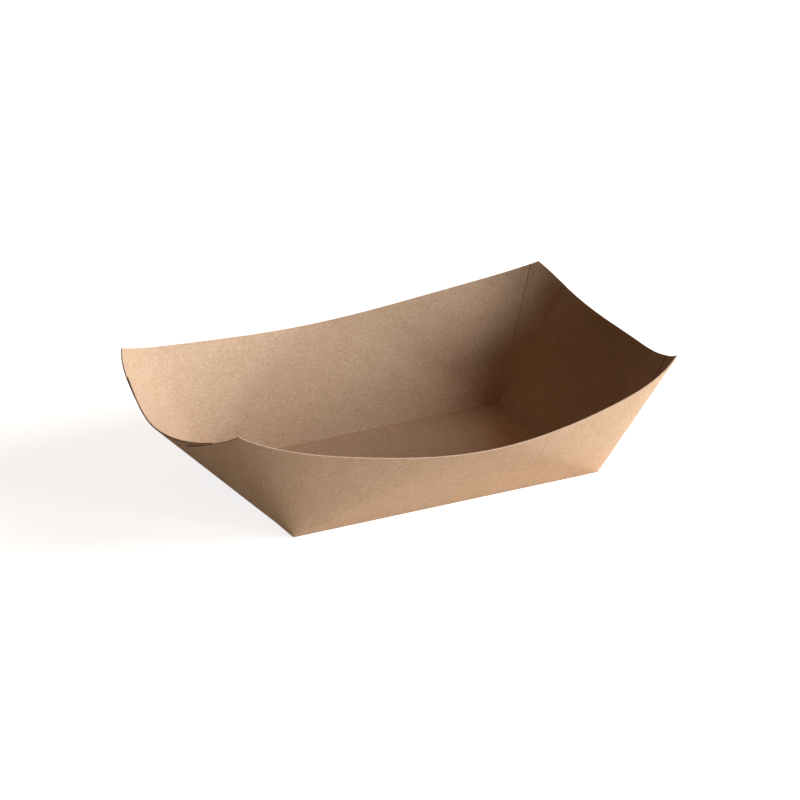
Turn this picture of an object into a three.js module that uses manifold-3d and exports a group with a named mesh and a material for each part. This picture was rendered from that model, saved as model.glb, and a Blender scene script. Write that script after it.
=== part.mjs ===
// Paper food tray: one die-cut sheet of kraft board, folded up round a rectangular floor.
// The long walls run round soft corners into ears, glued to the outside of the end panels.
// Millimetres, +Z up, X along the tray, the floor's underside at z = 0.
import * as THREE from 'three';
import { mergeVertices } from 'three/addons/utils/BufferGeometryUtils.js';
import Module from 'manifold-3d';

const wasm = await Module();
wasm.setup();

// The sheet.
const BOARD = 0.45;                 // thickness of the board
const GLUE_BITE = 0.06;             // how far an end panel is let into the ears it is glued to
const ROOT_DEPTH = 0.27;            // how far an end panel's root goes down into the floor

// The floor, fold to fold.
const FLOOR_LENGTH = 129.4;
const FLOOR_WIDTH = 82.8;

// The rim, from the tray's middle: its four peaks, and the middle of each kind of wall.
const PEAK_X = 91.4;
const PEAK_Y = 56.6;
const PEAK_HEIGHT = 50.0;
const SIDE_REACH = 77.0;
const SIDE_HEIGHT = 35.0;
const END_REACH = 101.5;
const END_HEIGHT = 36.4;

// How each rim line departs from a plain parabola: its fourth and sixth power shares.
const SIDE_BOW = { fourth: 12.3, sixth: -12.3 };
const SIDE_SAG = { fourth: -14.8, sixth: 11.0 };
const END_BOW = { fourth: 18.3, sixth: -11.3 };
const END_SAG = { fourth: -0.7, sixth: 1.3 };

// A folded sheet springs a little out of true: two opposite peaks stand higher and further back.
const RACK_UP = 1.2;
const RACK_ACROSS = 0.6;

// Where the sheet is cut, measured across the tray at the rim.
const PANEL_EDGE_Y = 41.5;          // side edges of an end panel
const EAR_EDGE_Y = 25.8;            // free edge of an ear
const EAR_DROP = 1.5;               // how far an ear's free corner lies below the panel's rim

// Facets.
const EAR_STEPS = 10;
const SIDE_STEPS = 26;              // from a peak to the middle of a long wall
const PANEL_STEPS = 16;             // from a side edge of an end panel to its middle
const CROWDING = 1.35;              // over 1 where facets get narrower towards a wall's end

const KRAFT = new THREE.MeshStandardMaterial({ color: 0xb08d6c, roughness: 0.85, metalness: 0 });

/** A height or reach along a rim line: share runs from 0 at the middle to 1 at a peak. */
function along(share, middle, peak, shape) {
  const square = share * share;
  const plain = peak - middle - shape.fourth - shape.sixth;
  return middle + plain * square + shape.fourth * square ** 2 + shape.sixth * square ** 3;
}

/** The sheet's departure from true at a place on the rim; the shares run from -1 to 1. */
function rack(shareX, shareY) {
  const share = shareX * shareY;
  return new THREE.Vector3(0, RACK_ACROSS * share, RACK_UP * share);
}

/** Point on a long wall's rim. */
function sideRim(side, share) {
  const y = side * along(share, SIDE_REACH, PEAK_Y, SIDE_BOW);
  const z = along(share, SIDE_HEIGHT, PEAK_HEIGHT, SIDE_SAG);
  return new THREE.Vector3(PEAK_X * share, y, z).add(rack(share, side));
}

/** Point on an end wall's rim. */
function endRim(end, share) {
  const x = end * along(share, END_REACH, PEAK_X, END_BOW);
  const z = along(share, END_HEIGHT, PEAK_HEIGHT, END_SAG);
  return new THREE.Vector3(x, PEAK_Y * share, z).add(rack(end, share));
}

/** Corner of the floor's upper face, which is the apex of that corner's cone. */
function floorCorner(end, side) {
  return new THREE.Vector3(end * FLOOR_LENGTH / 2, side * FLOOR_WIDTH / 2, BOARD);
}

/** Shares from one value to a larger one, closing up a little towards it. */
function shares(from, to, steps) {
  const place = (i) => to - (to - from) * (1 - i / steps) ** CROWDING;
  return Array.from({ length: steps + 1 }, (_, i) => place(i));
}

/** Gives each ruling the outward normal of the facets on its two sides. */
function withNormals(rulings, outward) {
  const facet = (a, b) => {
    const run = b.rim.distanceTo(a.rim) > 1e-6 ? b.rim.clone().sub(a.rim) : b.foot.clone().sub(a.foot);
    const rise = a.rim.clone().sub(a.foot);
    const normal = new THREE.Vector3().crossVectors(run, rise).normalize();
    return normal.dot(outward(a)) < 0 ? normal.negate() : normal;
  };
  return rulings.map((ruling, i) => {
    const sum = new THREE.Vector3();
    if (i > 0) sum.add(facet(rulings[i - 1], ruling));
    if (i < rulings.length - 1) sum.add(facet(ruling, rulings[i + 1]));
    return { ...ruling, normal: sum.normalize() };
  });
}

/** Rulings of one long wall with its two ears, from ear edge to ear edge along X. */
function sideRulings(side) {
  const half = (end) => {
    const foot = floorCorner(end, side);
    const wall = shares(0, 1, SIDE_STEPS).map((share) => ({ foot, rim: sideRim(side, end * share) }));
    const edge = EAR_EDGE_Y / PEAK_Y;
    const panelEdge = PANEL_EDGE_Y / PEAK_Y;
    const ear = shares(edge, 1, EAR_STEPS).slice(0, -1).map((share) => {
      const rim = endRim(end, side * share);
      const reach = rim.distanceTo(foot);
      const drop = EAR_DROP * Math.max(0, (panelEdge - share) / (panelEdge - edge));
      return { foot, rim: foot.clone().lerp(rim, 1 - drop / reach) };
    });
    return [...ear, ...wall.reverse()];
  };
  const rulings = [...half(-1), ...half(1).reverse()];
  return withNormals(rulings, (r) => new THREE.Vector3(r.rim.x, r.rim.y, -r.rim.z));
}

/** Rulings of one end panel, from side edge to side edge along Y. */
function panelRulings(end) {
  const half = (side) => {
    const foot = floorCorner(end, side);
    const list = shares(0, PANEL_EDGE_Y / PEAK_Y, PANEL_STEPS);
    return list.map((share) => ({ foot, rim: endRim(end, side * share) })).reverse();
  };
  const rulings = [...half(-1), ...half(1).reverse()];
  return withNormals(rulings, (r) => new THREE.Vector3(r.rim.x, r.rim.y, -r.rim.z));
}

/** Collects triangles on shared corners, leaving out any that have no area. */
class Shell {
  constructor() {
    this.places = [];
    this.faces = [];
    this.known = new Map();
  }

  corner(point) {
    const key = point.toArray().map((value) => Math.round(value * 1e5)).join();
    if (!this.known.has(key)) {
      this.known.set(key, this.places.length / 3);
      this.places.push(...point.toArray());
    }
    return this.known.get(key);
  }

  /** Adds a flat or nearly flat polygon as a fan, turned round where mirrored is true. */
  polygon(points, mirrored = false) {
    const ring = points.map((point) => this.corner(point));
    const loop = ring.filter((index, i) => index !== ring[(i + 1) % ring.length]);
    if (mirrored) loop.reverse();
    for (let i = 1; i < loop.length - 1; i += 1) {
      this.faces.push(loop[0], loop[i], loop[i + 1]);
    }
  }

  solid() {
    return new wasm.Manifold(new wasm.Mesh({
      numProp: 3,
      vertProperties: new Float32Array(this.places),
      triVerts: new Uint32Array(this.faces),
    }));
  }
}

/** The floor, both long walls and their four ears: one sheet with the end panels left out. */
function wrapSheet() {
  const shell = new Shell();
  const under = (foot) => new THREE.Vector3(foot.x, foot.y, 0);
  for (const side of [-1, 1]) {
    const mirrored = side > 0;
    const rulings = sideRulings(side).map((r) => ({
      ...r,
      outFoot: r.foot.clone().addScaledVector(r.normal, BOARD),
      outRim: r.rim.clone().addScaledVector(r.normal, BOARD),
    }));
    for (let i = 0; i < rulings.length - 1; i += 1) {
      const [a, b] = [rulings[i], rulings[i + 1]];
      shell.polygon([b.foot, a.foot, a.rim, b.rim], mirrored);
      shell.polygon([a.outFoot, b.outFoot, b.outRim, a.outRim], mirrored);
      shell.polygon([a.rim, a.outRim, b.outRim, b.rim], mirrored);
      shell.polygon([under(a.foot), under(b.foot), b.outFoot, a.outFoot], mirrored);
    }
    const [first, last] = [rulings[0], rulings[rulings.length - 1]];
    shell.polygon([first.foot, first.outFoot, first.outRim, first.rim], mirrored);
    shell.polygon([first.foot, under(first.foot), first.outFoot], mirrored);
    shell.polygon([last.rim, last.outRim, last.outFoot, last.foot], mirrored);
    shell.polygon([last.outFoot, under(last.foot), last.foot], mirrored);
  }
  const top = [[-1, -1], [1, -1], [1, 1], [-1, 1]].map(([end, side]) => floorCorner(end, side));
  shell.polygon(top);
  shell.polygon(top.map(under).reverse());
  shell.polygon([top[1], under(top[1]), under(top[2]), top[2]]);
  shell.polygon([top[3], under(top[3]), under(top[0]), top[0]]);
  return shell.solid();
}

/** One end panel, lying inside the ears, with its root let into the floor along the end fold. */
function endPanel(end) {
  const shell = new Shell();
  const mirrored = end > 0;
  const rulings = panelRulings(end);
  const section = (r) => {
    const innerFoot = r.foot.clone().addScaledVector(r.normal, -BOARD);
    const depth = BOARD - ROOT_DEPTH;
    const inward = new THREE.Vector3(-end, -Math.sign(r.foot.y), 0).multiplyScalar(GLUE_BITE);
    return [
      r.foot.clone().add(inward).setZ(depth),
      r.foot.clone().addScaledVector(r.normal, GLUE_BITE),
      r.rim.clone().addScaledVector(r.normal, GLUE_BITE),
      r.rim.clone().addScaledVector(r.normal, -BOARD),
      innerFoot,
      innerFoot.clone().setZ(depth),
    ];
  };
  const sections = rulings.map(section);
  for (let i = 0; i < sections.length - 1; i += 1) {
    const [a, b] = [sections[i], sections[i + 1]];
    for (let j = 0; j < a.length; j += 1) {
      const k = (j + 1) % a.length;
      shell.polygon([a[j], a[k], b[k], b[j]], mirrored);
    }
  }
  shell.polygon([...sections[0]].reverse(), mirrored);
  shell.polygon(sections[sections.length - 1], mirrored);
  return shell.solid();
}

/** A three.js geometry of a finished solid, with flat facets and welded corners. */
function toGeometry(solid) {
  const mesh = solid.getMesh();
  const geometry = new THREE.BufferGeometry();
  geometry.setAttribute('position', new THREE.BufferAttribute(mesh.vertProperties, 3));
  geometry.setIndex(new THREE.BufferAttribute(mesh.triVerts, 1));
  const welded = mergeVertices(geometry, 1e-5);
  welded.computeVertexNormals();
  return welded;
}

const sheet = wrapSheet().add(endPanel(-1)).add(endPanel(1));

const tray = new THREE.Mesh(toGeometry(sheet), KRAFT);
tray.name = 'tray';

const foodTray = new THREE.Group();
foodTray.name = 'food_tray';
foodTray.add(tray);

export default foodTray;
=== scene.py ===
"""Paper food tray: a sheet of kraft board folded up round a flat floor.

The long walls run round soft conical corners into ears, which are glued to the outside of the
end panels. Metres, +Z up, X along the tray, standing on z = 0.
"""

import logging
import math
from dataclasses import dataclass, field
from enum import Enum

import bmesh
import bpy
import numpy as np
from mathutils import Matrix, Vector

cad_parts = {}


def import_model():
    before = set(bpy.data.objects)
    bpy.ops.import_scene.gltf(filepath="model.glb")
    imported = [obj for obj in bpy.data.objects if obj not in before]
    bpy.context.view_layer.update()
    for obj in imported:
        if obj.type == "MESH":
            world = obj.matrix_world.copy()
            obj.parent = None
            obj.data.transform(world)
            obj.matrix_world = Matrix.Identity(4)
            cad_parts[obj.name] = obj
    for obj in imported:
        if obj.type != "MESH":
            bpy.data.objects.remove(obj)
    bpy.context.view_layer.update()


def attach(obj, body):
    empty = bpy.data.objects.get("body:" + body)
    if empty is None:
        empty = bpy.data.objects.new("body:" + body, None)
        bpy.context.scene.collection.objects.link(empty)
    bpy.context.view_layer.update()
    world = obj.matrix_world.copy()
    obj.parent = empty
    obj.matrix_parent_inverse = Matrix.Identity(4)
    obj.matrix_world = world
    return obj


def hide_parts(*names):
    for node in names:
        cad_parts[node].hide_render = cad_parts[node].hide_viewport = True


LOG = logging.getLogger("food_tray")

# Side of the picture, and width of the sensor that the lens is stated for.
PHOTO_SIDE_PX = 800
SENSOR_MM = 36.0

# The floor's corners as end and side, counter-clockwise from above.
FLOOR_RING = ((-1, -1), (1, -1), (1, 1), (-1, 1))

# Factors that bring a place down to z = 0, and that turn a rim's place outwards and down.
TO_GROUND = np.array([1.0, 1.0, 0.0])
OUT_AND_DOWN = np.array([1.0, 1.0, -1.0])

# What each vertex of a section mesh carries, as vectors and as numbers.
VECTOR_VALUES = ("foot", "rim", "outward")
NUMBER_VALUES = ("rise", "layer", "lift")

# Distances below which a step along a rim is none, two corners are one and a seam closes.
NO_STEP = 1e-9
SAME_CORNER = 1e-7
SEAM_REACH = 1e-6

# Socket numbers of a Mix node that mixes colours.
MIX_FACTOR, MIX_FIRST, MIX_SECOND, MIX_RESULT = 0, 6, 7, 2


class Ply(Enum):
    """The two kinds of wall that the sheet folds into."""

    WRAP = "wrap"
    PANEL = "panel"


class Zone(Enum):
    """What a face of the board is."""

    FACE = "face"
    CUT = "cut"
    # Faces along the score, which get a darker finish: painted shade in its groove.
    SCORE_PAINTED_SHADE = "score"


@dataclass(frozen=True)
class RimLine:
    """A rim's distance or height, from the middle of a wall to its peak.

    Attributes:
        middle: Value at the middle of the wall.
        peak: Value at the wall's ends.
        fourth: Share that goes with the fourth power.
        sixth: Share that goes with the sixth power.
    """

    middle: float
    peak: float
    fourth: float
    sixth: float

    def at(self, share: np.ndarray) -> np.ndarray:
        """Value along the rim.

        Args:
            share: Places on the rim, 0 at its middle and 1 or -1 at its peaks.

        Returns:
            The distance or height at each place.
        """
        square = np.square(share)
        plain = self.peak - self.middle - self.fourth - self.sixth
        return self.middle + plain * square + self.fourth * square**2 + self.sixth * square**3


@dataclass(frozen=True)
class Crease:
    """A scored line in the inner face, from a floor corner up to the rim.

    Attributes:
        corner: End and side of the corner that it starts from.
        share: Where it meets the long wall's rim, 1 being the peak.
        depth: How deep the score is pressed.
        half_width: Half its width at the rim.
        rulings: Where extra rulings run beside it, in half widths.
        painted_shade_from: Share of the full depth from which the board has the score's darker finish,
            which is painted shade in the groove.
    """

    corner: tuple[int, int] = (1, 1)
    share: float = 0.968
    depth: float = 0.00006
    half_width: float = 0.00022
    rulings: tuple[float, ...] = (-2.4, -1.6, -0.9, -0.4, 0.0, 0.4, 0.9, 1.6, 2.4)
    painted_shade_from: float = 0.3


@dataclass(frozen=True)
class EarTrim:
    """How one ear is cut and how it lies.

    Attributes:
        edge_y: Distance of its free edge from the tray's middle, at the rim.
        drop: How far its free corner lies below the panel's rim.
        lift: How far its free corner stands off the panel.
    """

    edge_y: float
    drop: float
    lift: float


@dataclass
class RulingSet:
    """Straight lines from the floor's corners to the rim, in order round a wall.

    Attributes:
        foot: Lower ends.
        rim: Upper ends.
        outward: Unit normals of the wall on its outer side.
        lift: How far each ruling's top stands off.
        groove: How far each ruling is pressed in, 1 along the middle of a score.
    """

    foot: np.ndarray
    rim: np.ndarray
    outward: np.ndarray
    lift: np.ndarray
    groove: np.ndarray


@dataclass(frozen=True)
class Column:
    """Vertex numbers of the board's section along one ruling.

    Attributes:
        inner: Vertices up the inner face.
        lip: Vertex on the crest of the cut edge.
        outer: Vertices up the outer face.
        under: Vertex on the ground below the ruling's foot, where there is one.
    """

    inner: list[int]
    lip: int
    outer: list[int]
    under: int | None = None


@dataclass
class SectionMesh:
    """Vertices, faces and the values that the node tree places them by.

    Attributes:
        foot: Lower end of each vertex's ruling.
        rim: Upper end of each vertex's ruling.
        outward: Outward normal at each vertex.
        rise: Place of each vertex on its ruling.
        layer: Place of each vertex through the board.
        lift: Extra distance of each vertex outwards.
        faces: Vertex numbers of each face.
        zones: What each face is.
    """

    foot: list[np.ndarray] = field(default_factory=list)
    rim: list[np.ndarray] = field(default_factory=list)
    outward: list[np.ndarray] = field(default_factory=list)
    rise: list[float] = field(default_factory=list)
    layer: list[float] = field(default_factory=list)
    lift: list[float] = field(default_factory=list)
    faces: list[tuple[int, ...]] = field(default_factory=list)
    zones: list[Zone] = field(default_factory=list)

    def point(self, foot: np.ndarray, rim: np.ndarray, outward: np.ndarray, rise: float,
              layer: float, lift: float = 0.0) -> int:
        """Add a vertex.

        Args:
            foot: Lower end of its ruling.
            rim: Upper end of its ruling.
            outward: Outward normal there.
            rise: Place on the ruling, 0 at the foot and 1 at the rim.
            layer: Place through the board, in board thicknesses outwards.
            lift: Extra distance outwards.

        Returns:
            The vertex's number.
        """
        self.foot.append(foot)
        self.rim.append(rim)
        self.outward.append(outward)
        self.rise.append(rise)
        self.layer.append(layer)
        self.lift.append(lift)
        return len(self.rise) - 1

    def fixed(self, place: np.ndarray) -> int:
        """Add a vertex that stays where it is put, and return its number."""
        return self.point(place, place, np.zeros(3), 0.0, 0.0)

    def face(self, corners: tuple[int, ...], zone: Zone = Zone.FACE, mirrored: bool = False) -> None:
        """Add a face.

        Args:
            corners: Its vertices, counter-clockwise from outside.
            zone: What it is.
            mirrored: Whether to turn it round.
        """
        self.faces.append(tuple(reversed(corners)) if mirrored else corners)
        self.zones.append(zone)


@dataclass(frozen=True)
class Speckle:
    """A noise pattern in the board, and how it fades in.

    Attributes:
        scale: Waves per metre.
        detail: Octaves of detail.
        roughness: How strong the finer octaves are.
        low: Noise value up to which it doesn't show.
        high: Noise value from which it shows fully.
        strength: Its share where it shows fully.
        stretch: Scale along each axis, over 1 where the pattern is squeezed.
    """

    scale: float
    detail: float
    roughness: float
    low: float
    high: float
    strength: float = 1.0
    stretch: tuple[float, float, float] = (1.0, 1.0, 1.0)


@dataclass(frozen=True)
class KraftFinish:
    """Uncoated brown kraft board.

    Attributes:
        name: Material name.
        pulp: Main colour, linear.
        dark_pulp: Colour of the darker mottling.
        pale_fibre: Colour of pale fibres.
        dark_fleck: Colour of bark flecks and of the grain's pits.
        roughness: Surface roughness.
        specular: Strength of the surface's shine.
        mottle: Cloudiness of the pulp.
        grain: Fine grain of the surface.
        fibre: Short pale fibres.
        fleck: Dark flecks.
        bump_strength: Share of the relief that shows.
        bump_height: Height of the relief.
    """

    name: str
    pulp: tuple[float, float, float]
    dark_pulp: tuple[float, float, float]
    pale_fibre: tuple[float, float, float]
    dark_fleck: tuple[float, float, float]
    roughness: float = 0.85
    specular: float = 0.06
    mottle: Speckle = Speckle(scale=140.0, detail=5.0, roughness=0.6, low=0.36, high=0.64)
    grain: Speckle = Speckle(scale=1250.0, detail=3.0, roughness=0.65, low=0.42, high=0.72,
                             strength=0.32)
    fibre: Speckle = Speckle(scale=520.0, detail=2.0, roughness=0.5, low=0.52, high=0.74,
                             strength=0.55, stretch=(1.0, 3.2, 2.4))
    fleck: Speckle = Speckle(scale=900.0, detail=1.0, roughness=0.5, low=0.58, high=0.74,
                             strength=0.6, stretch=(2.6, 1.0, 1.7))
    bump_strength: float = 0.5
    bump_height: float = 0.00006

    def build(self) -> bpy.types.Material:
        """Make the node material.

        Returns:
            The material, patterned on Object coordinates.
        """
        material = bpy.data.materials.new(self.name)
        material.use_nodes = True
        nodes, links = material.node_tree.nodes, material.node_tree.links
        shader = nodes["Principled BSDF"]
        shader.inputs["Roughness"].default_value = self.roughness
        shader.inputs["Specular IOR Level"].default_value = self.specular
        place = nodes.new("ShaderNodeTexCoord")

        mottle = self._noise(nodes, links, place, self.mottle)
        grain = self._noise(nodes, links, place, self.grain)
        fibre = self._noise(nodes, links, place, self.fibre)
        fleck = self._noise(nodes, links, place, self.fleck)

        colour = self.dark_pulp
        for noise, speckle, shown in ((mottle, self.mottle, self.pulp),
                                      (fibre, self.fibre, self.pale_fibre),
                                      (fleck, self.fleck, self.dark_fleck),
                                      (grain, self.grain, self.dark_fleck)):
            colour = self._mix(nodes, links, self._fade(nodes, links, noise, speckle), colour, shown)
        links.new(colour, shader.inputs["Base Color"])

        height = nodes.new("ShaderNodeMath")
        height.operation = "ADD"
        links.new(grain.outputs["Fac"], height.inputs[0])
        links.new(fibre.outputs["Fac"], height.inputs[1])
        bump = nodes.new("ShaderNodeBump")
        bump.inputs["Strength"].default_value = self.bump_strength
        bump.inputs["Distance"].default_value = self.bump_height
        links.new(height.outputs[0], bump.inputs["Height"])
        links.new(bump.outputs["Normal"], shader.inputs["Normal"])
        return material

    @staticmethod
    def _noise(nodes: bpy.types.Nodes, links: bpy.types.NodeLinks, place: bpy.types.Node,
               speckle: Speckle) -> bpy.types.Node:
        """Add a noise pattern.

        Args:
            nodes: Node list of the tree.
            links: Link list of the tree.
            place: The texture coordinate node.
            speckle: The pattern.

        Returns:
            The noise node.
        """
        mapping = nodes.new("ShaderNodeMapping")
        mapping.inputs["Scale"].default_value = speckle.stretch
        links.new(place.outputs["Object"], mapping.inputs["Vector"])
        noise = nodes.new("ShaderNodeTexNoise")
        noise.inputs["Scale"].default_value = speckle.scale
        noise.inputs["Detail"].default_value = speckle.detail
        noise.inputs["Roughness"].default_value = speckle.roughness
        links.new(mapping.outputs["Vector"], noise.inputs["Vector"])
        return noise

    @staticmethod
    def _fade(nodes: bpy.types.Nodes, links: bpy.types.NodeLinks, noise: bpy.types.Node,
              speckle: Speckle) -> bpy.types.NodeSocket:
        """Turn a pattern into a factor from 0 to its strength.

        Args:
            nodes: Node list of the tree.
            links: Link list of the tree.
            noise: The pattern's noise node.
            speckle: The pattern.

        Returns:
            The factor's socket.
        """
        ramp = nodes.new("ShaderNodeMapRange")
        ramp.inputs["From Min"].default_value = speckle.low
        ramp.inputs["From Max"].default_value = speckle.high
        ramp.inputs["To Max"].default_value = speckle.strength
        links.new(noise.outputs["Fac"], ramp.inputs["Value"])
        return ramp.outputs["Result"]

    @staticmethod
    def _mix(nodes: bpy.types.Nodes, links: bpy.types.NodeLinks, factor: bpy.types.NodeSocket,
             first: bpy.types.NodeSocket | tuple[float, float, float],
             second: bpy.types.NodeSocket | tuple[float, float, float]) -> bpy.types.NodeSocket:
        """Mix two colours.

        Args:
            nodes: Node list of the tree.
            links: Link list of the tree.
            factor: Share of the second colour.
            first: A colour or the socket of one.
            second: A colour or the socket of one.

        Returns:
            The mixed colour's socket.
        """
        mix = nodes.new("ShaderNodeMix")
        mix.data_type = "RGBA"
        links.new(factor, mix.inputs[MIX_FACTOR])
        for socket, colour in ((mix.inputs[MIX_FIRST], first), (mix.inputs[MIX_SECOND], second)):
            if isinstance(colour, tuple):
                socket.default_value = (*colour, 1.0)
            else:
                links.new(colour, socket)
        return mix.outputs[MIX_RESULT]


class RuledBoardTree:
    """Geometry Nodes tree that lays a board's section mesh along its rulings.

    Attributes:
        WAVE_SCALE: Waves per metre of the walls' slight waviness.
        WAVE_DETAIL: Octaves of that waviness.
        NOISE_MIDDLE: Value that the noise swings about.
    """

    WAVE_SCALE = 16.0
    WAVE_DETAIL = 1.0
    NOISE_MIDDLE = 0.5

    def __init__(self, materials: dict[Zone, bpy.types.Material]) -> None:
        """Build the tree.

        Args:
            materials: The material of each kind of face.
        """
        self.tree = bpy.data.node_groups.new("ruled_board", "GeometryNodeTree")
        sockets = self.tree.interface
        sockets.new_socket(name="Geometry", in_out="INPUT", socket_type="NodeSocketGeometry")
        self.board = sockets.new_socket(name="Board", in_out="INPUT", socket_type="NodeSocketFloat")
        self.wave = sockets.new_socket(name="Wave", in_out="INPUT", socket_type="NodeSocketFloat")
        self.seed = sockets.new_socket(name="Seed", in_out="INPUT", socket_type="NodeSocketFloat")
        sockets.new_socket(name="Geometry", in_out="OUTPUT", socket_type="NodeSocketGeometry")
        self._nodes(materials)

    def _attribute(self, name: str, kind: str) -> bpy.types.NodeSocket:
        """Read a named attribute.

        Args:
            name: The attribute's name.
            kind: Its data type.

        Returns:
            Its socket.
        """
        node = self.tree.nodes.new("GeometryNodeInputNamedAttribute")
        node.data_type = kind
        node.inputs["Name"].default_value = name
        return node.outputs["Attribute"]

    def _vector(self, operation: str, *inputs: bpy.types.NodeSocket) -> bpy.types.NodeSocket:
        """Vector arithmetic; a scale takes its factor second.

        Args:
            operation: The node's operation.
            *inputs: Sockets that it works on.

        Returns:
            The result's socket.
        """
        node = self.tree.nodes.new("ShaderNodeVectorMath")
        node.operation = operation
        targets = (node.inputs[0], node.inputs["Scale"] if operation == "SCALE" else node.inputs[1])
        for socket, target in zip(inputs, targets):
            self.tree.links.new(socket, target)
        return node.outputs["Vector"]

    def _number(self, operation: str, first: bpy.types.NodeSocket,
                second: bpy.types.NodeSocket | float) -> bpy.types.NodeSocket:
        """Arithmetic on numbers.

        Args:
            operation: The node's operation.
            first: Its first input.
            second: Its second input, a socket or a number.

        Returns:
            The result's socket.
        """
        node = self.tree.nodes.new("ShaderNodeMath")
        node.operation = operation
        self.tree.links.new(first, node.inputs[0])
        if isinstance(second, float):
            node.inputs[1].default_value = second
        else:
            self.tree.links.new(second, node.inputs[1])
        return node.outputs[0]

    def _nodes(self, materials: dict[Zone, bpy.types.Material]) -> None:
        """Add the nodes that lay the section out, join its seams and dress it.

        Args:
            materials: The material of each kind of face.
        """
        nodes, links = self.tree.nodes, self.tree.links
        given, out = nodes.new("NodeGroupInput"), nodes.new("NodeGroupOutput")
        foot, rim, outward = (self._attribute(name, "FLOAT_VECTOR") for name in VECTOR_VALUES)
        rise, layer, lift = (self._attribute(name, "FLOAT") for name in NUMBER_VALUES)

        ruling = self._vector("SUBTRACT", rim, foot)
        on_wall = self._vector("ADD", foot, self._vector("SCALE", ruling, rise))

        noise = nodes.new("ShaderNodeTexNoise")
        noise.noise_dimensions = "4D"
        noise.inputs["Scale"].default_value = self.WAVE_SCALE
        noise.inputs["Detail"].default_value = self.WAVE_DETAIL
        links.new(on_wall, noise.inputs["Vector"])
        links.new(given.outputs["Seed"], noise.inputs["W"])
        swing = self._number("SUBTRACT", noise.outputs["Fac"], self.NOISE_MIDDLE)
        swing = self._number("MULTIPLY", swing, given.outputs["Wave"])
        swing = self._number("MULTIPLY", swing, rise)

        through = self._number("MULTIPLY", layer, given.outputs["Board"])
        stand = self._number("ADD", self._number("ADD", through, swing), lift)
        placed = self._vector("ADD", on_wall, self._vector("SCALE", outward, stand))

        put = nodes.new("GeometryNodeSetPosition")
        links.new(given.outputs["Geometry"], put.inputs["Geometry"])
        links.new(placed, put.inputs["Position"])
        weld = nodes.new("GeometryNodeMergeByDistance")
        weld.inputs["Distance"].default_value = SEAM_REACH
        links.new(put.outputs["Geometry"], weld.inputs["Geometry"])
        real = nodes.new("GeometryNodeRealizeInstances")
        links.new(weld.outputs["Geometry"], real.inputs["Geometry"])
        dressed = real.outputs["Geometry"]
        for zone, material in materials.items():
            dress = nodes.new("GeometryNodeSetMaterial")
            dress.inputs["Material"].default_value = material
            links.new(dressed, dress.inputs["Geometry"])
            links.new(self._attribute(zone.value, "BOOLEAN"), dress.inputs["Selection"])
            dressed = dress.outputs["Geometry"]
        links.new(dressed, out.inputs["Geometry"])

    def lay(self, name: str, section: SectionMesh, board: float, wave: float,
            seed: float) -> bpy.types.Mesh:
        """Run the tree on a section mesh.

        Args:
            name: Name of the result.
            section: The mesh and its values.
            board: Board thickness.
            wave: How far the walls wander from their rulings.
            seed: Seed of the wandering.

        Returns:
            A plain mesh.
        """
        mesh = bpy.data.meshes.new(name)
        mesh.from_pydata([(0.0, 0.0, 0.0)] * len(section.rise), [], section.faces)
        for key in VECTOR_VALUES:
            values = np.asarray(getattr(section, key), dtype=np.float32).ravel()
            mesh.attributes.new(key, "FLOAT_VECTOR", "POINT").data.foreach_set("vector", values)
        for key in NUMBER_VALUES:
            values = np.asarray(getattr(section, key), dtype=np.float32)
            mesh.attributes.new(key, "FLOAT", "POINT").data.foreach_set("value", values)
        for zone in Zone:
            values = [each is zone for each in section.zones]
            mesh.attributes.new(zone.value, "BOOLEAN", "FACE").data.foreach_set("value", values)

        carrier = bpy.data.objects.new(name + "_section", mesh)
        bpy.context.scene.collection.objects.link(carrier)
        modifier = carrier.modifiers.new("Ruled board", "NODES")
        modifier.node_group = self.tree
        modifier[self.board.identifier] = board
        modifier[self.wave.identifier] = wave
        modifier[self.seed.identifier] = seed
        result = bpy.data.meshes.new_from_object(
            carrier.evaluated_get(bpy.context.evaluated_depsgraph_get()))
        bpy.data.objects.remove(carrier)
        for key in (*VECTOR_VALUES, *NUMBER_VALUES, *(zone.value for zone in Zone)):
            if key in result.attributes:
                result.attributes.remove(result.attributes[key])
        return result


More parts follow.
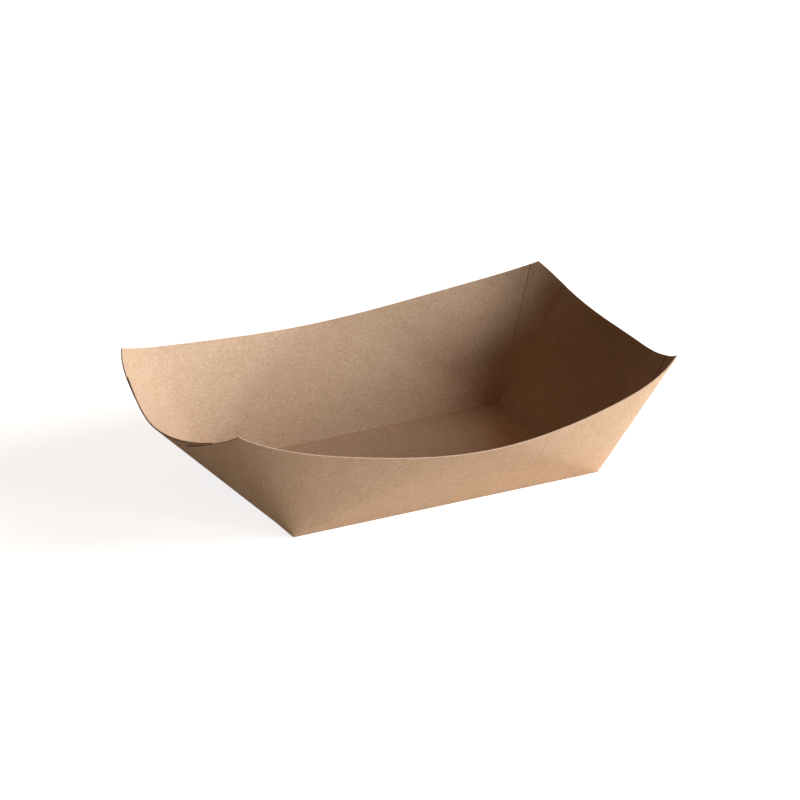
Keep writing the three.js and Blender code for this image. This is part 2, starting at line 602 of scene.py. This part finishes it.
@dataclass
class FoldedTray:
    """The folded sheet: floor, long walls with ears, and end panels.

    Attributes:
        board: Thickness of the board.
        glue_bite: How far an end panel is let into the ears that it is glued to.
        floor_length: Floor from end fold to end fold.
        floor_width: Floor from long fold to long fold.
        side_bow: Distance of a long wall's rim from the tray's middle.
        side_sag: Height of a long wall's rim.
        end_bow: Distance of an end wall's rim from the tray's middle.
        end_sag: Height of an end wall's rim.
        rack_up: How far two opposite peaks stand above true, and the other two below.
        rack_across: How far the same peaks stand back from true, and the others forward.
        panel_edge_y: Distance of an end panel's side edges from the middle, at the rim.
        score: The scored line.
        wave: How far the walls wander from their rulings.
        wave_seed: Seed of the wandering.
        lip_bulge: How far a cut edge is rounded out, in board thicknesses.
        root_inner: How deep a panel's inner face goes below the floor's top, in board thicknesses.
        root_outer: The same of its outer face.
        wall_steps: Facets from a wall's middle to its peak.
        ear_steps: Facets across an ear.
        panel_steps: Facets from a panel's middle to its side edge.
        rows: Facets up a ruling.
        crowding: Over 1 where facets get narrower towards a wall's end.
        foot_crowding: Over 1 where facets get lower towards the foot.
        sharp_angle: Degrees of turn above which an edge is shaded sharp.
        ears: How each ear is cut and lies, by end and side.
    """

    board: float = 0.00045
    glue_bite: float = 0.00006
    floor_length: float = 0.1294
    floor_width: float = 0.0828
    side_bow: RimLine = RimLine(middle=0.0770, peak=0.0566, fourth=0.0123, sixth=-0.0123)
    side_sag: RimLine = RimLine(middle=0.0350, peak=0.0500, fourth=-0.0148, sixth=0.0110)
    end_bow: RimLine = RimLine(middle=0.1015, peak=0.0914, fourth=0.0183, sixth=-0.0113)
    end_sag: RimLine = RimLine(middle=0.0364, peak=0.0500, fourth=-0.0007, sixth=0.0013)
    rack_up: float = 0.0012
    rack_across: float = 0.0006
    panel_edge_y: float = 0.0415
    score: Crease = Crease()
    wave: float = 0.0004
    wave_seed: float = 3.0
    lip_bulge: float = 0.12
    root_inner: float = 0.5
    root_outer: float = 0.3
    wall_steps: int = 64
    ear_steps: int = 26
    panel_steps: int = 40
    rows: int = 24
    crowding: float = 1.35
    foot_crowding: float = 1.4
    sharp_angle: float = 32.0
    ears: dict[tuple[int, int], EarTrim] = field(default_factory=lambda: {
        (-1, -1): EarTrim(edge_y=0.0222, drop=0.0018, lift=0.0005),
        (-1, 1): EarTrim(edge_y=0.0296, drop=0.0012, lift=0.0001),
        (1, -1): EarTrim(edge_y=0.0258, drop=0.0015, lift=0.0003),
        (1, 1): EarTrim(edge_y=0.0258, drop=0.0015, lift=0.0003),
    })

    def _rack(self, share: np.ndarray) -> np.ndarray:
        """How far the rim stands out of true, for the product of its shares along X and Y."""
        return np.stack([np.zeros_like(share), self.rack_across * share, self.rack_up * share], axis=-1)

    def side_rim(self, side: int, share: np.ndarray) -> np.ndarray:
        """Points on a long wall's rim.

        Args:
            side: -1 for the front wall, 1 for the back one.
            share: Places along X, -1 to 1.

        Returns:
            One point for each place.
        """
        plain = np.stack([self.end_bow.peak * share, side * self.side_bow.at(share),
                          self.side_sag.at(share)], axis=-1)
        return plain + self._rack(share * side)

    def end_rim(self, end: int, share: np.ndarray) -> np.ndarray:
        """Points on an end wall's rim.

        Args:
            end: -1 for the left end, 1 for the right one.
            share: Places along Y, -1 to 1.

        Returns:
            One point for each place.
        """
        plain = np.stack([end * self.end_bow.at(share), self.side_bow.peak * share,
                          self.end_sag.at(share)], axis=-1)
        return plain + self._rack(share * end)

    def corner(self, end: int, side: int) -> np.ndarray:
        """Corner of the floor's upper face."""
        return np.array([end * self.floor_length / 2, side * self.floor_width / 2, self.board])

    def _crowd(self, start: float, stop: float, steps: int) -> np.ndarray:
        """Places from start to stop that close up a little towards stop."""
        return stop - (stop - start) * (1 - np.linspace(0, 1, steps + 1)) ** self.crowding

    @staticmethod
    def _outward(foot: np.ndarray, rim: np.ndarray) -> np.ndarray:
        """Outward normals of a wall, each from the facets beside its ruling.

        Args:
            foot: Lower ends of the rulings.
            rim: Upper ends of the rulings.

        Returns:
            One unit normal for each ruling.
        """
        run = np.diff(rim, axis=0)
        still = np.linalg.norm(run, axis=1) < NO_STEP
        run[still] = np.diff(foot, axis=0)[still]
        facet = np.cross(run, (rim - foot)[:-1])
        facet /= np.linalg.norm(facet, axis=1, keepdims=True)
        away = (rim * OUT_AND_DOWN)[:-1]
        facet *= np.sign(np.sum(facet * away, axis=1, keepdims=True))
        total = np.zeros_like(rim)
        total[:-1] += facet
        total[1:] += facet
        return total / np.linalg.norm(total, axis=1, keepdims=True)

    def _ear_edge(self, end: int, side: int) -> tuple[np.ndarray, np.ndarray]:
        """Top edge of one ear, from its free corner towards the peak.

        Args:
            end: -1 for the left end, 1 for the right one.
            side: -1 for the front, 1 for the back.

        Returns:
            Points along the edge, and how far each stands off the panel.
        """
        trim, foot = self.ears[(end, side)], self.corner(end, side)
        edge, panel_edge = (y / self.side_bow.peak for y in (trim.edge_y, self.panel_edge_y))
        share = self._crowd(edge, 1.0, self.ear_steps)[:-1]
        ruling = self.end_rim(end, side * share) - foot
        reach = np.linalg.norm(ruling, axis=1)
        free = np.clip((panel_edge - share) / (panel_edge - edge), 0, 1)
        return foot + ruling * (1 - trim.drop * free / reach)[:, None], trim.lift * free**2

    def wrap_rulings(self, side: int) -> RulingSet:
        """Rulings of a long wall with its two ears, from ear edge to ear edge.

        Args:
            side: -1 for the front wall, 1 for the back one.

        Returns:
            The rulings, along +X.
        """
        width = self.score.half_width / self.end_bow.peak
        near_score = self.score.share + width * np.array(self.score.rulings)
        wall = np.unique(np.concatenate([self._crowd(0.0, 1.0, self.wall_steps), near_score]))
        press = np.exp(-np.square((wall - self.score.share) / width))
        feet, rims, lifts, grooves = [], [], [], []
        for end in (-1, 1):
            ear_edge, stand_off = self._ear_edge(end, side)
            rim = np.concatenate([ear_edge, self.side_rim(side, end * wall)[::-1]])
            lift = np.concatenate([stand_off, np.zeros(len(wall))])
            scored = (end, side) == self.score.corner
            groove = np.concatenate([np.zeros(len(ear_edge)), scored * press[::-1]])
            order = slice(None) if end < 0 else slice(None, None, -1)
            rims.append(rim[order])
            lifts.append(lift[order])
            grooves.append(groove[order])
            feet.append(np.repeat(self.corner(end, side)[None], len(rim), axis=0))
        foot, rim = np.concatenate(feet), np.concatenate(rims)
        return RulingSet(foot, rim, self._outward(foot, rim), np.concatenate(lifts),
                         np.concatenate(grooves))

    def panel_rulings(self, end: int) -> RulingSet:
        """Rulings of an end panel, from side edge to side edge.

        Args:
            end: -1 for the left end, 1 for the right one.

        Returns:
            The rulings, along +Y.
        """
        places = self._crowd(0.0, self.panel_edge_y / self.side_bow.peak, self.panel_steps)
        feet, rims = [], []
        for side in (-1, 1):
            order = slice(None, None, -1) if side < 0 else slice(None)
            rim = self.end_rim(end, side * places)[order]
            rims.append(rim)
            feet.append(np.repeat(self.corner(end, side)[None], len(rim), axis=0))
        foot, rim = np.concatenate(feet), np.concatenate(rims)
        flat = np.zeros(len(rim))
        return RulingSet(foot, rim, self._outward(foot, rim), flat, flat)

    def _rises(self) -> np.ndarray:
        """Places up a ruling, closer together at its foot."""
        return np.linspace(0, 1, self.rows + 1) ** self.foot_crowding

    def _lip_rise(self, foot: np.ndarray, rim: np.ndarray) -> float:
        """Place on a ruling of the rounded crest of its cut edge."""
        return 1 + self.lip_bulge * self.board / np.linalg.norm(rim - foot)

    def _wrap_columns(self, mesh: SectionMesh, lines: RulingSet) -> list[Column]:
        """Add the vertices of a long wall and its ears.

        Args:
            mesh: The mesh to add them to.
            lines: The wall's rulings.

        Returns:
            One column for each ruling.
        """
        rises = self._rises()
        columns = []
        for foot, rim, outward, lift, groove in zip(
                lines.foot, lines.rim, lines.outward, lines.lift, lines.groove):
            dent = self.score.depth * groove
            inner = [mesh.point(foot, rim, outward, rise, 0.0, (lift + dent) * rise) for rise in rises]
            lip = mesh.point(foot, rim, outward, self._lip_rise(foot, rim), 0.5, lift)
            outer = [mesh.point(foot, rim, outward, rise, 1.0, lift * rise) for rise in rises]
            columns.append(Column(inner, lip, outer, mesh.fixed(foot * TO_GROUND)))
        return columns

    @staticmethod
    def _wrap_strip(mesh: SectionMesh, a: Column, b: Column, inside: Zone, mirrored: bool) -> None:
        """Add the faces between two neighbouring columns of a long wall.

        Args:
            mesh: The mesh to add them to.
            a: The first column.
            b: The next one.
            inside: What the inner face is there.
            mirrored: Whether to turn the faces round.
        """
        for j in range(len(a.inner) - 1):
            mesh.face((b.inner[j], a.inner[j], a.inner[j + 1], b.inner[j + 1]), inside, mirrored)
            mesh.face((a.outer[j], b.outer[j], b.outer[j + 1], a.outer[j + 1]), Zone.FACE, mirrored)
        mesh.face((a.inner[-1], a.lip, b.lip, b.inner[-1]), Zone.CUT, mirrored)
        mesh.face((a.lip, a.outer[-1], b.outer[-1], b.lip), Zone.CUT, mirrored)
        mesh.face((a.under, b.under, b.outer[0], a.outer[0]), Zone.FACE, mirrored)

    @staticmethod
    def _ear_cut(mesh: SectionMesh, column: Column, turned: bool) -> None:
        """Add the faces of an ear's free edge.

        Args:
            mesh: The mesh to add them to.
            column: The last column of the ear.
            turned: Whether to turn the faces round.
        """
        inner, outer = column.inner, column.outer
        for j in range(len(inner) - 1):
            mesh.face((inner[j], outer[j], outer[j + 1], inner[j + 1]), Zone.CUT, turned)
        mesh.face((inner[-1], outer[-1], column.lip), Zone.CUT, turned)
        mesh.face((inner[0], column.under, outer[0]), Zone.CUT, turned)

    def wrap_section(self) -> SectionMesh:
        """Floor, long walls and ears as one closed mesh.

        Returns:
            The section mesh.
        """
        mesh = SectionMesh()
        top = {key: mesh.fixed(self.corner(*key)) for key in FLOOR_RING}
        low = {key: mesh.fixed(self.corner(*key) * TO_GROUND) for key in FLOOR_RING}
        for side in (-1, 1):
            mirrored = side > 0
            lines = self.wrap_rulings(side)
            columns = self._wrap_columns(mesh, lines)
            # Faces deep in the score get the darker finish, which is painted shade in the groove.
            scored = np.minimum(lines.groove[:-1], lines.groove[1:]) > self.score.painted_shade_from
            for a, b, painted_dark in zip(columns, columns[1:], scored):
                self._wrap_strip(mesh, a, b, Zone.SCORE_PAINTED_SHADE if painted_dark else Zone.FACE, mirrored)
            self._ear_cut(mesh, columns[0], mirrored)
            self._ear_cut(mesh, columns[-1], not mirrored)
        mesh.face(tuple(top[key] for key in FLOOR_RING))
        mesh.face(tuple(low[key] for key in reversed(FLOOR_RING)))
        left_front, right_front, right_back, left_back = FLOOR_RING
        for a, b in ((right_front, right_back), (left_back, left_front)):
            mesh.face((top[a], low[a], low[b], top[b]))
        return mesh

    def _panel_columns(self, mesh: SectionMesh, lines: RulingSet) -> list[Column]:
        """Add the vertices of an end panel, which starts inside the floor.

        Args:
            mesh: The mesh to add them to.
            lines: The panel's rulings.

        Returns:
            One column for each ruling.
        """
        rises = self._rises()
        bite = self.glue_bite / self.board
        columns = []
        for foot, rim, outward in zip(lines.foot, lines.rim, lines.outward):
            height = rim[2] - foot[2]
            root_in = (-self.root_inner * self.board + self.board * outward[2]) / height
            root_out = -self.root_outer * self.board / height
            rows_in = root_in + (1 - root_in) * rises
            rows_out = root_out + (1 - root_out) * rises
            outer = [mesh.point(foot, rim, outward, rise, bite) for rise in rows_out]
            lip = mesh.point(foot, rim, outward, self._lip_rise(foot, rim), 0.5 * (bite - 1))
            inner = [mesh.point(foot, rim, outward, rise, -1.0) for rise in rows_in]
            columns.append(Column(inner, lip, outer))
        return columns

    def panel_section(self, end: int) -> SectionMesh:
        """One end panel as a closed mesh, its root let into the floor.

        Args:
            end: -1 for the left end, 1 for the right one.

        Returns:
            The section mesh.
        """
        mesh = SectionMesh()
        mirrored = end > 0
        columns = self._panel_columns(mesh, self.panel_rulings(end))
        for a, b in zip(columns, columns[1:]):
            for j in range(self.rows):
                mesh.face((a.outer[j], a.outer[j + 1], b.outer[j + 1], b.outer[j]), Zone.FACE, mirrored)
                mesh.face((a.inner[j + 1], a.inner[j], b.inner[j], b.inner[j + 1]), Zone.FACE, mirrored)
            mesh.face((a.outer[-1], a.lip, b.lip, b.outer[-1]), Zone.CUT, mirrored)
            mesh.face((a.lip, a.inner[-1], b.inner[-1], b.lip), Zone.CUT, mirrored)
            mesh.face((a.inner[0], a.outer[0], b.outer[0], b.inner[0]), Zone.FACE, mirrored)
        for column, turned in ((columns[0], not mirrored), (columns[-1], mirrored)):
            inner, outer = column.inner, column.outer
            for j in range(self.rows):
                mesh.face((outer[j], outer[j + 1], inner[j + 1], inner[j]), Zone.FACE, turned)
            mesh.face((outer[-1], column.lip, inner[-1]), Zone.FACE, turned)
        return mesh

    def build(self, finishes: dict[Zone, KraftFinish]) -> bpy.types.Object:
        """Make the tray and dress it.

        Args:
            finishes: The finish of each kind of face.

        Returns:
            The tray's object, which rides on the root body.
        """
        materials = {zone: finish.build() for zone, finish in finishes.items()}
        tree = RuledBoardTree(materials)
        order = list(materials.values())
        plies = [(Ply.WRAP, self.wrap_section()), (Ply.PANEL, self.panel_section(-1)),
                 (Ply.PANEL, self.panel_section(1))]
        whole = bmesh.new()
        for number, (ply, section) in enumerate(plies):
            mesh = tree.lay(f"{ply.value}_{number}", section, self.board, self.wave, self.wave_seed)
            # The tree lists the finishes in an order of its own, and may leave a slot empty.
            slots = [order.index(material) if material in order else 0 for material in mesh.materials]
            for polygon in mesh.polygons:
                polygon.material_index = slots[polygon.material_index]
            whole.from_mesh(mesh)
            LOG.info("%s ply: %d faces", ply.value, len(mesh.polygons))
            bpy.data.meshes.remove(mesh)
        bmesh.ops.remove_doubles(whole, verts=whole.verts, dist=SAME_CORNER)
        data = bpy.data.meshes.new("folded_tray")
        for material in order:
            data.materials.append(material)
        whole.to_mesh(data)
        whole.free()
        data.shade_smooth()
        data.set_sharp_from_angle(angle=math.radians(self.sharp_angle))
        tray = bpy.data.objects.new("folded_tray", data)
        bpy.context.scene.collection.objects.link(tray)
        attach(tray, "root")
        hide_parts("tray")
        return tray


@dataclass(frozen=True)
class SoftLamp:
    """A square soft lamp that is aimed at the tray.

    Attributes:
        name: Name of the lamp.
        azimuth: Direction it stands in, degrees from +X towards +Y.
        elevation: Height it stands at, in degrees.
        distance: Distance from the tray.
        side: Length of its side.
        power: Power in watts.
        tint: Colour, linear.
    """

    name: str
    azimuth: float
    elevation: float
    distance: float
    side: float
    power: float
    tint: tuple[float, float, float] = (1.0, 1.0, 1.0)

    def build(self) -> bpy.types.Object:
        """Make the lamp.

        Returns:
            Its object.
        """
        data = bpy.data.lights.new(self.name, "AREA")
        data.shape = "SQUARE"
        data.size = self.side
        data.energy = self.power
        data.color = self.tint
        lamp = bpy.data.objects.new(self.name, data)
        a, e = math.radians(self.azimuth), math.radians(self.elevation)
        toward = Vector((math.cos(a) * math.cos(e), math.sin(a) * math.cos(e), math.sin(e)))
        lamp.location = toward * self.distance
        lamp.rotation_euler = toward.to_track_quat("Z", "Y").to_euler()
        bpy.context.scene.collection.objects.link(lamp)
        return lamp


@dataclass(frozen=True)
class PhotoView:
    """The photograph's camera, found by fitting the tray to the picture.

    Attributes:
        azimuth: Degrees that the camera stands round from the front, minus to the left.
        elevation: Degrees that it looks down.
        roll: Degrees that it is turned about its own axis.
        distance: Distance to the plane of the tray's middle.
        across: How far it is moved to its right, which keeps the picture's centre.
        up: How far it is moved up.
        focal_px: Focal length in picture pixels.
        far_clip: Distance beyond which nothing is drawn.
    """

    azimuth: float = -25.345
    elevation: float = 21.611
    roll: float = -1.629
    distance: float = 1.7520
    across: float = -0.00013
    up: float = 0.02650
    focal_px: float = 4500.0
    far_clip: float = 50.0

    def build(self) -> bpy.types.Object:
        """Make the camera and give it to the scene.

        Returns:
            Its object.
        """
        a, e, r = (math.radians(v) for v in (self.azimuth, self.elevation, self.roll))
        back = Vector((math.sin(a) * math.cos(e), -math.cos(a) * math.cos(e), math.sin(e)))
        level = Vector((math.cos(a), math.sin(a), 0.0))
        upright = back.cross(level)
        right = level * math.cos(r) + upright * math.sin(r)
        up = upright * math.cos(r) - level * math.sin(r)
        data = bpy.data.cameras.new("photo_view")
        data.sensor_width = SENSOR_MM
        data.lens = self.focal_px / PHOTO_SIDE_PX * SENSOR_MM
        data.clip_end = self.far_clip
        camera = bpy.data.objects.new("photo_view", data)
        turn = Matrix((right, up, back)).transposed().to_4x4()
        place = back * self.distance + right * self.across + up * self.up
        camera.matrix_world = Matrix.Translation(place) @ turn
        bpy.context.scene.collection.objects.link(camera)
        bpy.context.scene.camera = camera
        return camera


@dataclass(frozen=True)
class Studio:
    """Pale floor, soft lamps, and a world that the camera sees as white.

    Attributes:
        floor_side: Side of the square floor.
        floor_colour: The floor's colour, linear.
        floor_roughness: The floor's roughness.
        floor_glow: Light that the camera sees the floor give off, near the tray.
        near_reach: Distance up to which the floor glows like that.
        far_reach: Distance from which it glows white.
        fill_colour: Colour of the world's fill, linear.
        fill_strength: Strength of the fill.
        lamps: The soft lamps.
    """

    floor_side: float = 12.0
    floor_colour: tuple[float, float, float] = (0.93, 0.86, 0.77)
    floor_roughness: float = 0.9
    floor_glow: float = 0.84
    near_reach: float = 0.25
    far_reach: float = 0.9
    fill_colour: tuple[float, float, float] = (0.97, 0.58, 0.33)
    fill_strength: float = 0.06
    lamps: tuple[SoftLamp, ...] = (
        SoftLamp("key", azimuth=-28.0, elevation=18.0, distance=2.4, side=1.3, power=69.0,
                 tint=(0.88, 1.0, 1.10)),
        SoftLamp("side", azimuth=-14.0, elevation=36.0, distance=2.0, side=0.8, power=5.7,
                 tint=(1.0, 0.45, 0.27)),
        SoftLamp("front", azimuth=-60.0, elevation=8.0, distance=1.9, side=0.5, power=15.8,
                 tint=(0.95, 1.0, 1.08)),
    )

    def build(self) -> None:
        """Make the floor, the lamps and the world."""
        self._floor()
        for lamp in self.lamps:
            lamp.build()
        self._world()

    def _floor(self) -> None:
        """Make a pale floor that shows white where it is lit and keeps the tray's shadow."""
        half = self.floor_side / 2
        mesh = bpy.data.meshes.new("studio_floor")
        mesh.from_pydata([(-half, -half, 0), (half, -half, 0), (half, half, 0), (-half, half, 0)],
                         [], [(0, 1, 2, 3)])
        floor = bpy.data.objects.new("studio_floor", mesh)
        bpy.context.scene.collection.objects.link(floor)
        material = bpy.data.materials.new("studio_floor")
        material.use_nodes = True
        nodes, links = material.node_tree.nodes, material.node_tree.links
        shader = nodes["Principled BSDF"]
        shader.inputs["Base Color"].default_value = (*self.floor_colour, 1.0)
        shader.inputs["Roughness"].default_value = self.floor_roughness
        shader.inputs["Specular IOR Level"].default_value = 0.0
        glow = nodes.new("ShaderNodeEmission")
        place = nodes.new("ShaderNodeTexCoord")
        reach = nodes.new("ShaderNodeVectorMath")
        reach.operation = "LENGTH"
        links.new(place.outputs["Object"], reach.inputs[0])
        fade = nodes.new("ShaderNodeMapRange")
        fade.inputs["From Min"].default_value = self.near_reach
        fade.inputs["From Max"].default_value = self.far_reach
        fade.inputs["To Min"].default_value = self.floor_glow
        links.new(reach.outputs["Value"], fade.inputs["Value"])
        links.new(fade.outputs["Result"], glow.inputs["Strength"])
        both = nodes.new("ShaderNodeAddShader")
        links.new(shader.outputs["BSDF"], both.inputs[0])
        links.new(glow.outputs["Emission"], both.inputs[1])
        pick = nodes.new("ShaderNodeMixShader")
        links.new(self._seen(nodes, links), pick.inputs[0])
        links.new(shader.outputs["BSDF"], pick.inputs[1])
        links.new(both.outputs["Shader"], pick.inputs[2])
        links.new(pick.outputs["Shader"], nodes["Material Output"].inputs["Surface"])
        mesh.materials.append(material)

    @staticmethod
    def _seen(nodes: bpy.types.Nodes, links: bpy.types.NodeLinks) -> bpy.types.NodeSocket:
        """Factor that is 1 for camera, glossy and transmission rays.

        Args:
            nodes: Node list of the tree.
            links: Link list of the tree.

        Returns:
            The factor's socket.
        """
        path = nodes.new("ShaderNodeLightPath")
        total = path.outputs["Is Camera Ray"]
        for name in ("Is Glossy Ray", "Is Transmission Ray"):
            either = nodes.new("ShaderNodeMath")
            either.operation = "MAXIMUM"
            links.new(total, either.inputs[0])
            links.new(path.outputs[name], either.inputs[1])
            total = either.outputs[0]
        return total

    def _world(self) -> None:
        """Make a soft even fill that the camera sees as white."""
        world = bpy.data.worlds.new("studio_world")
        bpy.context.scene.world = world
        world.use_nodes = True
        nodes, links = world.node_tree.nodes, world.node_tree.links
        fill = nodes["Background"]
        fill.inputs["Color"].default_value = (*self.fill_colour, 1.0)
        fill.inputs["Strength"].default_value = self.fill_strength
        white = nodes.new("ShaderNodeBackground")
        white.inputs["Color"].default_value = (1.0, 1.0, 1.0, 1.0)
        pick = nodes.new("ShaderNodeMixShader")
        links.new(self._seen(nodes, links), pick.inputs[0])
        links.new(fill.outputs["Background"], pick.inputs[1])
        links.new(white.outputs["Background"], pick.inputs[2])
        links.new(pick.outputs["Shader"], nodes["World Output"].inputs["Surface"])


FINISHES = {
    Zone.FACE: KraftFinish(
        name="kraft_face",
        pulp=(0.66, 0.455, 0.298),
        dark_pulp=(0.62, 0.42, 0.268),
        pale_fibre=(0.79, 0.61, 0.44),
        dark_fleck=(0.38, 0.215, 0.115),
    ),
    Zone.CUT: KraftFinish(
        name="kraft_cut_edge",
        pulp=(0.71, 0.51, 0.36),
        dark_pulp=(0.66, 0.46, 0.31),
        pale_fibre=(0.80, 0.62, 0.47),
        dark_fleck=(0.48, 0.31, 0.19),
    ),
    # Darker board along the score: painted shade in its groove.
    Zone.SCORE_PAINTED_SHADE: KraftFinish(
        name="kraft_score_painted_shade",
        pulp=(0.44, 0.28, 0.175),
        dark_pulp=(0.40, 0.25, 0.15),
        pale_fibre=(0.54, 0.37, 0.24),
        dark_fleck=(0.30, 0.175, 0.10),
    ),
}


def main() -> None:
    """Build the tray in its studio."""
    logging.basicConfig(level=logging.INFO)
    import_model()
    bpy.context.scene.view_settings.view_transform = "Standard"
    PhotoView().build()
    Studio().build()
    tray = FoldedTray().build(FINISHES)
    LOG.info("%s: %d polygons", tray.name, len(tray.data.polygons))


if __name__ == "__main__":
    main()
